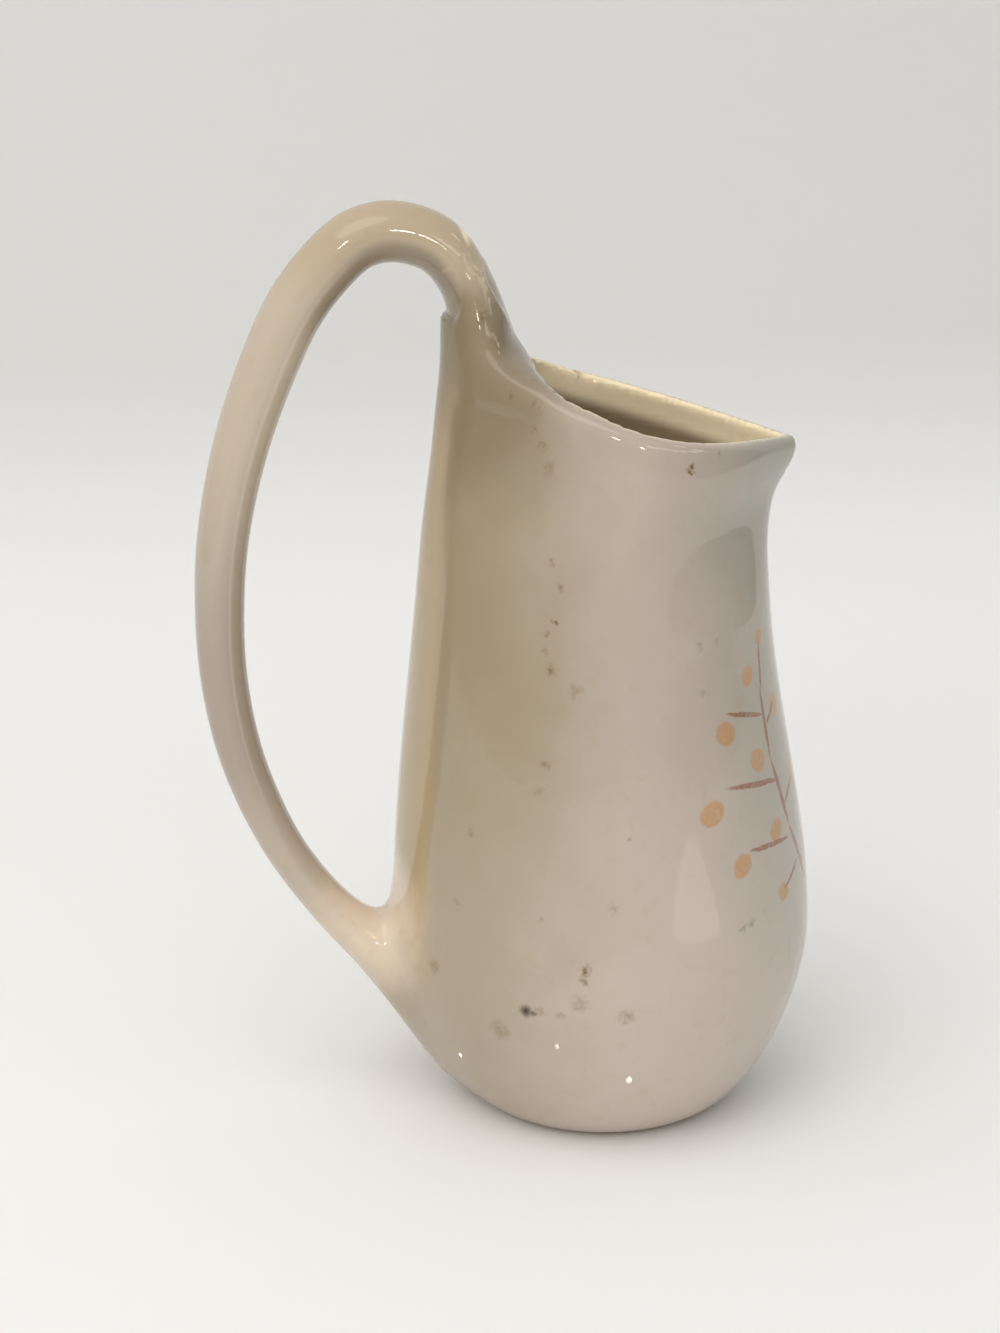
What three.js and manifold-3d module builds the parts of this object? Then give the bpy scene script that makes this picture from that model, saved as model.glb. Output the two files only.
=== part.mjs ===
// Creamer of glazed earthenware: a full round body that draws in to a waist, a pinched spout,
// and a rim that sweeps up at the back into a tall loop handle.
// Millimetres, +Z up. The spout points along +X and the handle stands behind it along -X.
import * as THREE from 'three'
import { mergeVertices } from 'three/addons/utils/BufferGeometryUtils.js'
import Module from 'manifold-3d'

const wasm = await Module()
wasm.setup()

// Driving dimensions of the body, level by level.
// At each level the wall stands so far in front of, behind and beside the body's axis,
// and each level lies so far above the one before it.
const footRadius = 22
const footRingWidth = 3
const footRecess = 1.3
const bellyHeight = 33
const bellyFront = 38.2
const bellyBack = 38.8
const bellySide = 38.5
const waistRise = 71
const waistFront = 28.9
const waistBack = 33.4
const waistSide = 31.4
const throatRise = 8.5
const throatFront = 29.9
const throatBack = 32.5
const throatSide = 31.1
const spoutRise = 9.2
const spoutOverhang = 4.5
const spoutBack = 31.3
const spoutSide = 31.2
const shoulderRise = 10.3
const shoulderFront = 30
const shoulderBack = 30.2
const shoulderSide = 29
const hoodRise = 4
const hoodFront = 9
const hoodBack = 29.7
const hoodSide = 21
const peakRise = 3.4
const peakFront = -14.6
const peakBack = 29.5
const peakSide = 13

// The wall is cast to one thickness, and the lip is rounded over its full width.
const wall = 3.4
const floorThickness = 3.8
const hoodThickness = 2.6

// The neck ends in a level seat, to which the handle is luted.
const seatRise = 7.1
const neckThickness = 9.4
const seatLedge = 1
const neckWidth = 20
const neckSetback = 23

// The heel boss stands behind the belly and ends in an upright seat for the handle's lower end.
const heelReach = 4.7
const heelHeight = 31
const heelTall = 15.2
const heelWidth = 13.4
const heelRun = 14.5
const heelFilletRadius = 7
const heelFlare = 3.5

// Driving dimensions of the handle: how far its loop stands behind the heel and above the neck.
const loopReach = 25.7
const loopRise = 14.4
const crownThickness = 10.4
const crownWidth = 12.2
const gripThickness = 8.6
const gripWidth = 11
const tailThickness = 7.2
const tailWidth = 10

// One overrun for every cut.
const overrun = 6

// How full the lower body is: 1 is a straight cone, 2 an ellipse.
const lowerFullnessShare = 1.56

// How much of the section's front is pinched in at the spout, and from what share of its height.
const spoutPinchShare = 0.72
const spoutPinchStartShare = 0.78

// How much of the section's back is drawn in towards the neck, from the belly up, level by level.
const neckPinchShares = [0, 0.16, 0.24, 0.32, 0.34, 0.22, 0.25, 0.1]
const neckPinchPower = 1.5

// The rim falls evenly along the mouth by this share, and the rest is the sweep up to the peak.
const rimSlopeShare = 0.56
const rimSweepPower = 6

// The lower edge of the heel boss runs down by this share of its height above the floor.
const heelDropShare = 0.75

// The handle's centre line, in shares of how far back and how far up each point lies.
// From the neck's seat up to the top of the loop: back from the neck, and up from the seat.
const riseRouteShares = [
  [0, 0],
  [0.046, 0.405],
  [0.15, 0.829],
  [0.32, 1]
]

// From the top down to the outermost point: back from the neck, and up from the heel.
const fallRouteShares = [
  [0.45, 0.989],
  [0.573, 0.951],
  [0.681, 0.899],
  [0.773, 0.832],
  [0.853, 0.758],
  [0.919, 0.68],
  [0.973, 0.583],
  [0.998, 0.478]
]

// From there in to the heel: back from the heel's seat, and up from the heel.
const tailRouteShares = [
  [0.99, 0.394],
  [0.906, 0.307],
  [0.791, 0.235],
  [0.606, 0.154],
  [0.404, 0.0926],
  [0.192, 0.043],
  [0, 0]
]

// Where along the handle each of its sections begins or ends.
const neckEndShare = 0.04
const crownStartShare = 0.2
const crownEndShare = 0.4
const gripShare = 0.56
const tailStartShare = 0.82
const tailEndShare = 0.93

// The last stretches of the handle, in which it turns square to its seats.
const neckTurnShare = 0.06
const heelTurnShare = 0.12

// Slopes and the lip's height are found in steps of this share of the wall.
const fineStepShare = 0.01

// Facets.
const ringSides = 48
const ringsPerSpan = [9, 10, 2, 4, 5, 3, 4, 5]
const lipSides = 10
const lipTurns = 5
const mouthSteps = 40
const bossSides = 24
const bossSteps = 10
const bossStepPower = 1.5
const handleSides = 20
const handleRings = 52

// Heights above the floor and setbacks from the axis that follow from the sizes above.
const waistHeight = bellyHeight + waistRise
const throatHeight = waistHeight + throatRise
const spoutHeight = throatHeight + spoutRise
const shoulderHeight = spoutHeight + shoulderRise
const hoodHeight = shoulderHeight + hoodRise
const peakHeight = hoodHeight + peakRise
const seatHeight = peakHeight + seatRise
const spoutReach = throatFront + spoutOverhang
const heelSetback = bellyBack + heelReach

// Height, front, back and side of the outer wall at each level, and how far its back is drawn in.
const levels = [
  [bellyHeight, bellyFront, bellyBack, bellySide],
  [waistHeight, waistFront, waistBack, waistSide],
  [throatHeight, throatFront, throatBack, throatSide],
  [spoutHeight, spoutReach, spoutBack, spoutSide],
  [shoulderHeight, shoulderFront, shoulderBack, shoulderSide],
  [hoodHeight, hoodFront, hoodBack, hoodSide],
  [peakHeight, peakFront, peakBack, peakSide],
  [seatHeight, neckThickness / 2 - neckSetback, neckThickness / 2 + neckSetback + seatLedge, neckWidth / 2]
].map((row, index) => [...row, neckPinchShares[index]])

// Share of the way along the handle, and its thickness and width there.
const handleSections = [
  [0, neckThickness, neckWidth],
  [neckEndShare, neckThickness, neckWidth],
  [crownStartShare, crownThickness, crownWidth],
  [crownEndShare, crownThickness, crownWidth],
  [gripShare, gripThickness, gripWidth],
  [tailStartShare, tailThickness, tailWidth],
  [tailEndShare, tailThickness, tailWidth],
  [1, heelTall, heelWidth]
]

const glaze = new THREE.MeshStandardMaterial({ color: 0xcdc0aa, roughness: 0.22, metalness: 0 })
const handleGlaze = new THREE.MeshStandardMaterial({ color: 0xd2c3a8, roughness: 0.22, metalness: 0 })

// A smooth curve through rows of [place, value, value ...] that never swings past a row.
function alongRows(rows, place, column) {
  let low = 0
  while (low < rows.length - 2 && place > rows[low + 1][0]) low += 1
  const slopeBetween = (index) => {
    const run = rows[index + 1][0] - rows[index][0]
    return (rows[index + 1][column] - rows[index][column]) / run
  }
  const slopeAt = (index) => {
    if (index === 0) return 0
    if (index === rows.length - 1) return slopeBetween(rows.length - 2)
    const before = slopeBetween(index - 1)
    const after = slopeBetween(index)
    return before * after <= 0 ? 0 : (2 * before * after) / (before + after)
  }
  const run = rows[low + 1][0] - rows[low][0]
  const share = THREE.MathUtils.clamp((place - rows[low][0]) / run, 0, 1)
  const square = share * share
  const cube = square * share
  return (2 * cube - 3 * square + 1) * rows[low][column]
    + (cube - 2 * square + share) * run * slopeAt(low)
    + (3 * square - 2 * cube) * rows[low + 1][column]
    + (cube - square) * run * slopeAt(low + 1)
}

// Front, back and side of the outer wall at one height.
function wallAt(height) {
  if (height >= bellyHeight) return [1, 2, 3].map((column) => alongRows(levels, height, column))
  const rise = THREE.MathUtils.clamp(height / bellyHeight, 0, 1)
  const bulge = (1 - (1 - rise) ** lowerFullnessShare) ** (1 / lowerFullnessShare)
  return [bellyFront, bellyBack, bellySide].map((reach) => footRadius + (reach - footRadius) * bulge)
}

// How far the wall has to be drawn in level by level, so that its own thickness is the inset.
// Only the overhang under the spout leans enough to matter.
function drawnIn(height, inset) {
  if (height > spoutHeight) return inset
  const step = wall * fineStepShare
  const lean = (wallAt(height)[0] - wallAt(height - step)[0]) / step
  return inset * Math.hypot(1, Math.max(lean, 0))
}

// One point of the oval section at a height, drawn in by an inset all round.
function sectionPoint(height, angle, inset, placeHeight) {
  const [front, back, side] = wallAt(height)
  const low = -back + inset
  const high = height > bellyHeight ? front - drawnIn(height, inset) : front - inset
  const ahead = Math.max(Math.cos(angle), 0)
  const behind = Math.max(-Math.cos(angle), 0)
  const spoutPinch = spoutPinchShare
    * THREE.MathUtils.smoothstep(height, spoutPinchStartShare * spoutHeight, spoutHeight)
  const neckPinch = alongRows(levels, Math.max(height, bellyHeight), 4)
  const narrowing = 1 - spoutPinch * ahead * ahead - neckPinch * behind ** neckPinchPower
  return new THREE.Vector3(
    (low + high) / 2 + (high - low) / 2 * Math.cos(angle),
    (side - inset) * Math.sin(angle) * narrowing,
    placeHeight
  )
}

function section(height, inset, placeHeight) {
  return Array.from({ length: ringSides }, (unused, index) =>
    sectionPoint(height, (index / ringSides) * 2 * Math.PI, inset, placeHeight))
}

function circle(radius, height) {
  return Array.from({ length: ringSides }, (unused, index) => {
    const angle = (index / ringSides) * 2 * Math.PI
    return new THREE.Vector3(radius * Math.cos(angle), radius * Math.sin(angle), height)
  })
}

// A closed skin over a row of rings of equal count. An open row gets flat ends.
function loft(rings, closed = false) {
  const sides = rings[0].length
  const places = rings.flat().flatMap((point) => [point.x, point.y, point.z])
  const faces = []
  const last = closed ? rings.length : rings.length - 1
  for (let ring = 0; ring < last; ring += 1) {
    const next = (ring + 1) % rings.length
    for (let side = 0; side < sides; side += 1) {
      const a = ring * sides + side
      const b = ring * sides + ((side + 1) % sides)
      const c = next * sides + ((side + 1) % sides)
      const d = next * sides + side
      faces.push(a, b, c, a, c, d)
    }
  }
  if (!closed) {
    for (const [ring, flip] of [[0, true], [rings.length - 1, false]]) {
      const centre = rings[ring].reduce((sum, point) => sum.add(point), new THREE.Vector3())
      centre.divideScalar(sides)
      const hub = places.length / 3
      places.push(centre.x, centre.y, centre.z)
      for (let side = 0; side < sides; side += 1) {
        const a = ring * sides + side
        const b = ring * sides + ((side + 1) % sides)
        if (flip) faces.push(hub, b, a)
        else faces.push(hub, a, b)
      }
    }
  }
  const geometry = new THREE.BufferGeometry()
  geometry.setAttribute('position', new THREE.Float32BufferAttribute(places, 3))
  geometry.setIndex(faces)
  return geometry
}

function solid(geometry) {
  const plain = geometry.clone()
  plain.deleteAttribute('normal')
  plain.deleteAttribute('uv')
  const merged = mergeVertices(plain)
  const vertProperties = new Float32Array(merged.attributes.position.array)
  const triVerts = new Uint32Array(merged.index.array)
  return new wasm.Manifold(new wasm.Mesh({ numProp: 3, vertProperties, triVerts }))
}

function geometryOf(shape) {
  const mesh = shape.getMesh()
  const geometry = new THREE.BufferGeometry()
  geometry.setAttribute('position', new THREE.Float32BufferAttribute(mesh.vertProperties, 3))
  geometry.setIndex(Array.from(mesh.triVerts))
  geometry.computeVertexNormals()
  return geometry
}

// Heights of the rings, level to level. They lie closest just above the foot, where the wall turns most.
function ringHeights() {
  const bounds = [0, ...levels.map((row) => row[0])]
  const heights = []
  ringsPerSpan.forEach((count, span) => {
    const from = bounds[span]
    const to = bounds[span + 1]
    for (let step = 0; step < count; step += 1) {
      const share = step / count
      const eased = span === 0 ? share * share : share
      heights.push(from + (to - from) * eased)
    }
  })
  return heights.concat(seatHeight)
}

// Outer form of the body, from the recess under the foot up to the seat on the neck.
function outerForm() {
  const innerRing = footRadius - footRingWidth
  const rings = [
    circle(innerRing - footRecess, footRecess),
    circle(innerRing, 0),
    ...ringHeights().map((height) => section(height, 0, height))
  ]
  return loft(rings)
}

// The hollow inside follows the outer form, drawn in by the wall, lifted to the floor at the bottom
// and lowered under the hood at the top.
function hollowForm() {
  const floor = footRecess + floorThickness
  const rings = ringHeights()
    .filter((height) => height <= peakHeight)
    .map((height) => {
      const lift = floor * (1 - THREE.MathUtils.smoothstep(height, 0, bellyHeight))
      const drop = hoodThickness * THREE.MathUtils.smoothstep(height, spoutHeight, peakHeight)
      return section(height, wall, height + lift - drop)
    })
  return loft(rings)
}

// Height of the rim above each place along the mouth, seen from the side.
function rimHeight(x) {
  const lipRadius = wall / 2
  const tip = spoutReach - lipRadius
  const share = THREE.MathUtils.clamp((tip - x) / (tip - peakFront), 0, 1)
  const swept = rimSlopeShare * share + (1 - rimSlopeShare) * share ** rimSweepPower
  return spoutHeight + (peakHeight - lipRadius - spoutHeight) * swept
}

// Everything above the rim and in front of the neck is cut away.
function mouthCut() {
  const outline = new THREE.Shape()
  outline.moveTo(peakFront, seatHeight + overrun)
  for (let step = 0; step <= mouthSteps; step += 1) {
    const x = peakFront + (spoutReach + overrun - peakFront) * (step / mouthSteps)
    outline.lineTo(x, rimHeight(x))
  }
  outline.lineTo(spoutReach + overrun, seatHeight + overrun)
  outline.closePath()
  const depth = 2 * (bellySide + overrun)
  const cut = new THREE.ExtrudeGeometry(outline, { depth, steps: 1, bevelEnabled: false })
  cut.rotateX(Math.PI / 2)
  cut.translate(0, depth / 2, 0)
  return cut
}

// Middle line of the lip on one side, from the spout's tip to the root of the neck.
function lipHalf() {
  const inset = wall / 2
  const fineStep = wall * fineStepShare
  const points = []
  for (let step = 0; step < ringSides / 2; step += 1) {
    const angle = (step / ringSides) * 2 * Math.PI
    let height = throatHeight
    let point = sectionPoint(height, angle, inset, height)
    while (height < rimHeight(point.x)) {
      height += fineStep
      point = sectionPoint(height, angle, inset, height)
    }
    if (point.x < peakFront - inset) break
    points.push(point)
  }
  // The lip then turns across the front of the neck, just behind the edge of the mouth.
  const side = points[points.length - 1]
  const root = new THREE.Vector3(peakFront - inset, 0, peakHeight - inset)
  for (let turn = 1; turn <= lipTurns; turn += 1) {
    const angle = (turn / lipTurns) * Math.PI / 2
    points.push(new THREE.Vector3(
      side.x + (root.x - side.x) * Math.sin(angle),
      side.y * Math.cos(angle),
      side.z + (root.z - side.z) * Math.sin(angle)
    ))
  }
  return points
}

// The full round of the lip, swept along the rim and closed inside the root of the neck.
function lipForm() {
  const lipRadius = wall / 2 / Math.cos(Math.PI / lipSides)
  const half = lipHalf()
  const mirrored = half.slice(1, -1).reverse().map((point) => new THREE.Vector3(point.x, -point.y, point.z))
  const line = half.concat(mirrored)
  const rings = line.map((point, index) => {
    const before = line[(index + line.length - 1) % line.length]
    const after = line[(index + 1) % line.length]
    const along = after.clone().sub(before).normalize()
    const across = along.clone().cross(new THREE.Vector3(0, 0, 1)).normalize()
    const above = across.clone().cross(along)
    return Array.from({ length: lipSides }, (unused, side) => {
      const angle = (side / lipSides) * 2 * Math.PI
      return point.clone()
        .addScaledVector(across, -Math.cos(angle) * lipRadius)
        .addScaledVector(above, Math.sin(angle) * lipRadius)
    })
  })
  return loft(rings, true)
}

// An oval ring about a point in the middle plane, spread along one direction there and along Y.
function ovalRing(sides, centre, direction, halfThickness, halfWidth) {
  return Array.from({ length: sides }, (unused, side) => {
    const angle = (side / sides) * 2 * Math.PI
    return centre.clone()
      .addScaledVector(direction, Math.cos(angle) * halfThickness)
      .add(new THREE.Vector3(0, Math.sin(angle) * halfWidth, 0))
  })
}

// The boss runs from its seat into the back wall: its lower edge drops straight towards the foot,
// and its upper edge and sides turn into the wall with a fillet.
function heelBoss() {
  const up = new THREE.Vector3(0, 0, 1)
  const lowerEdge = heelHeight - heelTall / 2
  const upperEdge = heelHeight + heelTall / 2
  const rings = []
  for (let step = 0; step <= bossSteps; step += 1) {
    const share = (step / bossSteps) ** bossStepPower
    const turn = Math.min((heelRun * share) / heelFilletRadius, 1)
    const spread = 1 - Math.sqrt(1 - turn * turn)
    const low = lowerEdge * (1 - heelDropShare * share)
    const high = upperEdge + heelFilletRadius * spread
    const middle = new THREE.Vector3(-heelSetback + heelRun * share, 0, (low + high) / 2)
    rings.push(ovalRing(bossSides, middle, up, (high - low) / 2, heelWidth / 2 + heelFlare * spread))
  }
  return loft(rings)
}

// The handle's centre line, from the neck's seat over the top and down to the heel's seat.
function handleRoute() {
  const outermost = heelSetback + loopReach
  const top = seatHeight + loopRise
  const backFromNeck = (share) => neckSetback + share * (outermost - neckSetback)
  const upFromHeel = (share) => heelHeight + share * (top - heelHeight)
  const point = (back, up) => new THREE.Vector3(-back, 0, up)
  return new THREE.CatmullRomCurve3([
    ...riseRouteShares.map(([back, up]) => point(backFromNeck(back), seatHeight + up * loopRise)),
    ...fallRouteShares.map(([back, up]) => point(backFromNeck(back), upFromHeel(up))),
    ...tailRouteShares.map(([back, up]) => point(heelSetback + back * loopReach, upFromHeel(up)))
  ], false, 'centripetal')
}

// The handle is lofted between its two seats, so that its ends lie flat on them.
function handleForm() {
  const route = handleRoute()
  const downward = new THREE.Vector3(0, 0, -1)
  const level = new THREE.Vector3(1, 0, 0)
  const rings = []
  for (let ring = 0; ring <= handleRings; ring += 1) {
    const share = ring / handleRings
    const centre = route.getPointAt(share)
    const along = route.getTangentAt(share)
    const across = new THREE.Vector3(along.z, 0, -along.x)
    const toNeck = 1 - THREE.MathUtils.smoothstep(share, 0, neckTurnShare)
    const toHeel = THREE.MathUtils.smoothstep(share, 1 - heelTurnShare, 1)
    across.lerp(level, toNeck).lerp(downward, toHeel).normalize()
    const thickness = alongRows(handleSections, share, 1)
    const width = alongRows(handleSections, share, 2)
    const oval = ovalRing(handleSides, centre, across, thickness / 2, width / 2)
    if (share < neckTurnShare) oval.forEach((place) => { place.z = Math.max(place.z, seatHeight) })
    if (share > 1 - heelTurnShare) oval.forEach((place) => { place.x = Math.min(place.x, -heelSetback) })
    rings.push(oval)
  }
  return loft(rings)
}

function faceOutwards(geometry) {
  const position = geometry.attributes.position
  const index = geometry.index
  const corner = [0, 1, 2].map(() => new THREE.Vector3())
  let volume = 0
  for (let face = 0; face < index.count; face += 3) {
    corner.forEach((point, order) => point.fromBufferAttribute(position, index.getX(face + order)))
    volume += corner[0].dot(corner[1].clone().cross(corner[2]))
  }
  if (volume < 0) {
    const order = Array.from(index.array)
    for (let face = 0; face < order.length; face += 3) {
      [order[face + 1], order[face + 2]] = [order[face + 2], order[face + 1]]
    }
    geometry.setIndex(order)
  }
  return geometry
}

const shell = solid(faceOutwards(outerForm()))
  .add(solid(faceOutwards(heelBoss())))
  .subtract(solid(faceOutwards(hollowForm())))
  .subtract(solid(mouthCut()))
  .add(solid(faceOutwards(lipForm())))

const body = new THREE.Mesh(geometryOf(shell), glaze)
body.name = 'body'

const handle = new THREE.Mesh(geometryOf(solid(faceOutwards(handleForm()))), handleGlaze)
handle.name = 'handle'

// The origin is on the floor, under the middle of the whole creamer.
const creamer = new THREE.Group()
creamer.add(body, handle)
const extent = new THREE.Box3().setFromObject(creamer)
const centre = extent.getCenter(new THREE.Vector3())
creamer.position.set(-centre.x, -centre.y, 0)

export default creamer
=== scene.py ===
"""A tall creamer of glazed earthenware on a sweep of pale paper, its spout to the right.

Its surface is one smooth field: the vessel, the loop handle and the slip-filled joints between
them run into each other, as they do under the glaze. The field is meshed, and parted at the two
seats where the handle was luted on.
"""

import math

import bmesh
import bpy
import numpy as np
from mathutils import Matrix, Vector

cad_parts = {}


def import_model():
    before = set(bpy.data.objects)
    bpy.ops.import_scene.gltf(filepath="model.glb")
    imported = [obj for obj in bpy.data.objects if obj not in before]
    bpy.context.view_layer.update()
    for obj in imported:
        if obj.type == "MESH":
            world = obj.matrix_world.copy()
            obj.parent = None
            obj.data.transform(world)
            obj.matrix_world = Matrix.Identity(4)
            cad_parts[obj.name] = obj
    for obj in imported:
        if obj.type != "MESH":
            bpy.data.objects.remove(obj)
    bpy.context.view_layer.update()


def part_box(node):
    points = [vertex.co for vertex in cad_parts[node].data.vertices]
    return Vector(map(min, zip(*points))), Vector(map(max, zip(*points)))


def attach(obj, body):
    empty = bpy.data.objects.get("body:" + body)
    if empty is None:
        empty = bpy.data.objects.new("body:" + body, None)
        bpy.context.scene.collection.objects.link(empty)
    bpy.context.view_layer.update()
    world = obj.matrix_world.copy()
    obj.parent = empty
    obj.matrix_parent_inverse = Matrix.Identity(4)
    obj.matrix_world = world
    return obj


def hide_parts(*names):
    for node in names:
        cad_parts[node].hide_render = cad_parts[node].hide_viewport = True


MM = 0.001

# Levels of the vessel's wall in millimetres: height, then front, back and side from its axis,
# and the share by which its back is drawn in towards the neck.
LEVELS = np.array([
    (33.0, 38.2, 38.8, 38.5, 0.0),
    (104.0, 28.9, 33.4, 31.4, 0.16),
    (112.5, 29.9, 32.5, 31.1, 0.24),
    (121.7, 34.4, 31.3, 31.2, 0.32),
    (132.0, 30.0, 30.2, 30.1, 0.34),
    (136.0, 9.0, 29.7, 23.4, 0.24),
    (139.4, -13.6, 29.5, 14.4, 0.25),
    (146.5, -18.6, 29.4, 9.5, 0.1),
    (153.5, -23.0, 28.0, 6.4, 0.1),
])
FOOT_RADIUS = 22.0
FOOT_RING = 3.0
FOOT_RECESS = 1.3
LOWER_FULLNESS = 1.56
LEVEL_SOFTNESS = 1.6
SOFT_FROM, SOFT_FULLY = 5.0, 18.0
WALL = 3.4
FLOOR = 5.1
CEILING = 138.6
PINCH = 0.72
PINCH_FROM, PINCH_TO = 94.9, 121.7
NECK_DRAW_POWER = 1.5

# The rim's height along the mouth, from the neck's root to the spout's tip. It climbs the neck
# on both sides of the hood, whose own front edge lies a little further ahead.
RIM = np.array([
    (-17.0, 145.0), (-15.5, 141.2), (-14.3, 138.5), (-13.0, 136.9), (-11.5, 135.9), (-10.0, 135.1),
    (-8.0, 134.3), (-6.0, 133.4), (-4.0, 132.5), (0.0, 131.0), (5.0, 129.5), (10.0, 128.3), (20.0, 126.2),
    (32.7, 123.6),
])
HOOD_EDGE, HOOD_EDGE_BESIDE = -13.6, -15.4
HOOD_BESIDE_FROM, HOOD_BESIDE_TO = 5.0, 13.0

# The seats where the handle meets the vessel, and how far the neck's front is carried on above its
# seat, so that the glaze runs up into the handle there. Only the back keeps a small ledge.
NECK_SEAT = 146.5
HEEL_SEAT = 43.5
NECK_CARRIED_ON = 8.0
LEDGE_DEPTH = 0.2
LEDGE_BACK, LEDGE_FRONT = -28.0, -25.0
LEDGE_TIGHTNESS_FRONT, LEDGE_TIGHTNESS_BACK = 0.3, 0.85

# How far each edge is rounded or filled.
LIP_OUTSIDE, LIP_OUTSIDE_AT_NECK = 3.2, 5.6
LIP_INSIDE = 3.2
HOOD_CORNER = 2.0
FLOOR_ROUNDING = 7.0
CEILING_ROUNDING = 3.0
LEDGE_ROUNDING = 0.9
FOOT_ROUNDING = 1.6
RECESS_ROUNDING = 0.8
HEEL_BLEND, NECK_BLEND = 13.0, 5.0
HEEL_BLEND_FROM, HEEL_BLEND_TO = 60.0, 90.0
NECK_BLEND_FROM, NECK_BLEND_TO = 120.0, 140.0
LIP_AHEAD, LIP_BEHIND = 10.0, -9.0

# The handle's centre line in the middle plane, from inside the hood over the top and down
# to the foot: place along X, height, thickness and width.
HANDLE = np.array([
    (-22.6, 137.0, 10.5, 22.0),
    (-22.9, 142.0, 10.2, 21.0),
    (-23.3, 146.5, 9.7, 19.4),
    (-25.3, 152.3, 9.1, 16.3),
    (-29.9, 158.4, 9.9, 13.8),
    (-37.7, 160.9, 10.4, 12.4),
    (-43.9, 159.5, 10.4, 12.2),
    (-49.6, 154.5, 10.4, 12.2),
    (-54.7, 147.8, 10.3, 12.2),
    (-58.9, 139.1, 10.1, 12.1),
    (-62.7, 129.5, 9.8, 11.9),
    (-65.7, 119.3, 9.4, 11.6),
    (-68.1, 106.7, 9.0, 11.3),
    (-68.9, 93.1, 8.6, 11.0),
    (-68.4, 82.2, 8.3, 10.8),
    (-66.5, 70.9, 8.0, 10.6),
    (-63.6, 61.5, 7.7, 10.4),
    (-58.9, 51.0, 7.3, 10.1),
    (-53.8, 43.0, 7.3, 10.0),
    (-48.6, 36.4, 7.8, 10.8),
    (-43.3, 30.6, 8.4, 12.0),
    (-37.0, 23.1, 8.4, 11.5),
    (-30.9, 15.5, 8.0, 9.5),
    (-26.7, 10.0, 7.3, 7.5),
])
HANDLE_RINGS, HANDLE_SIDES = 300, 72

# Over these lengths the handle's section turns to lie flat on its seats.
NECK_TURN, HEEL_TURN = 8.0, 14.0

# Fine steps of the wall's table and of the handle's line, and how many on each side soften one.
WALL_STEP = 0.2
WALL_SOFT_STEPS = 40
HANDLE_STEPS = 700
HANDLE_SOFT_STEPS = 12

# Past this distance the handle isn't measured. Nearer points first try every few steps of its line.
FAR_FROM_HANDLE = 30.0
HANDLE_HALF_REACH = 24.0
HANDLE_STRIDE = 7
POINTS_AT_ONCE = 40000

# The mesh: its cell and outer limits, how near a seat a point counts as lying on it, the longest
# step that a point takes towards the surface, and how often points are evened out and settled.
CELL = 0.95
GRID_FRONT, GRID_HALF_WIDTH = 41.0, 40.5
LAYERS_AT_ONCE = 12
SEAT_SLACK = 0.01
SLOPE_STEP = 0.12
LONGEST_STEP = 0.8
EVENING_ROUNDS = 3
HANDLE_ROUNDS = 6

# Where the neck's stain is deepest, and where the heel is painted lightest: painted light, as if the
# heel were lit.
NECK_STAIN_PLACE = (-27.0, -10.0, 135.0)
HEEL_LIGHT_PLACE = (-41.0, 0.0, 38.0)

# What counts as the inside: how far in from the outer wall it starts, how far up, and how wide it
# is about its middle. A little below the rim the inside is painted darker: painted shade, where
# the near rim shades the far wall deep in the mouth.
INSIDE_FROM, INSIDE_TO = 0.9, 2.6
INSIDE_ABOVE, INSIDE_RADIUS, INSIDE_MIDDLE = 4.0, 36.0, -2.0
DEEP_SHADE_FROM, DEEP_SHADE_TO = 4.0, 6.8

# How far around a point the field is felt for a hollow, how hollow it must be for the painted shade
# that darkens the glaze in hollows, and how strong that shade gets.
HOLLOW_REACH, HOLLOW_LIFT = 1.6, 0.4
HOLLOW_SHADE_FROM, HOLLOW_SHADE_TO = 0.6, 3.6
HOLLOW_SHADE_STRENGTH = 0.3

# The back and the lower face of the crown are told by how steeply the surface faces that way and by
# where it lies. The back gets a lighter tint, a painted reflection of the bright backdrop; under the
# crown the glaze is painted darker, as painted shade.
BACK_SLOPE_FROM, BACK_SLOPE_TO = -0.86, -0.93
BACK_FROM, BACK_TO = -20.0, -26.0
BACK_TOP, BACK_FULLY = 142.0, 120.0
UNDERSIDE_SLOPE, UNDERSIDE_STRENGTH = -0.5, 0.8
UNDERSIDE_FROM, UNDERSIDE_TO = 140.0, 150.0

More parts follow.
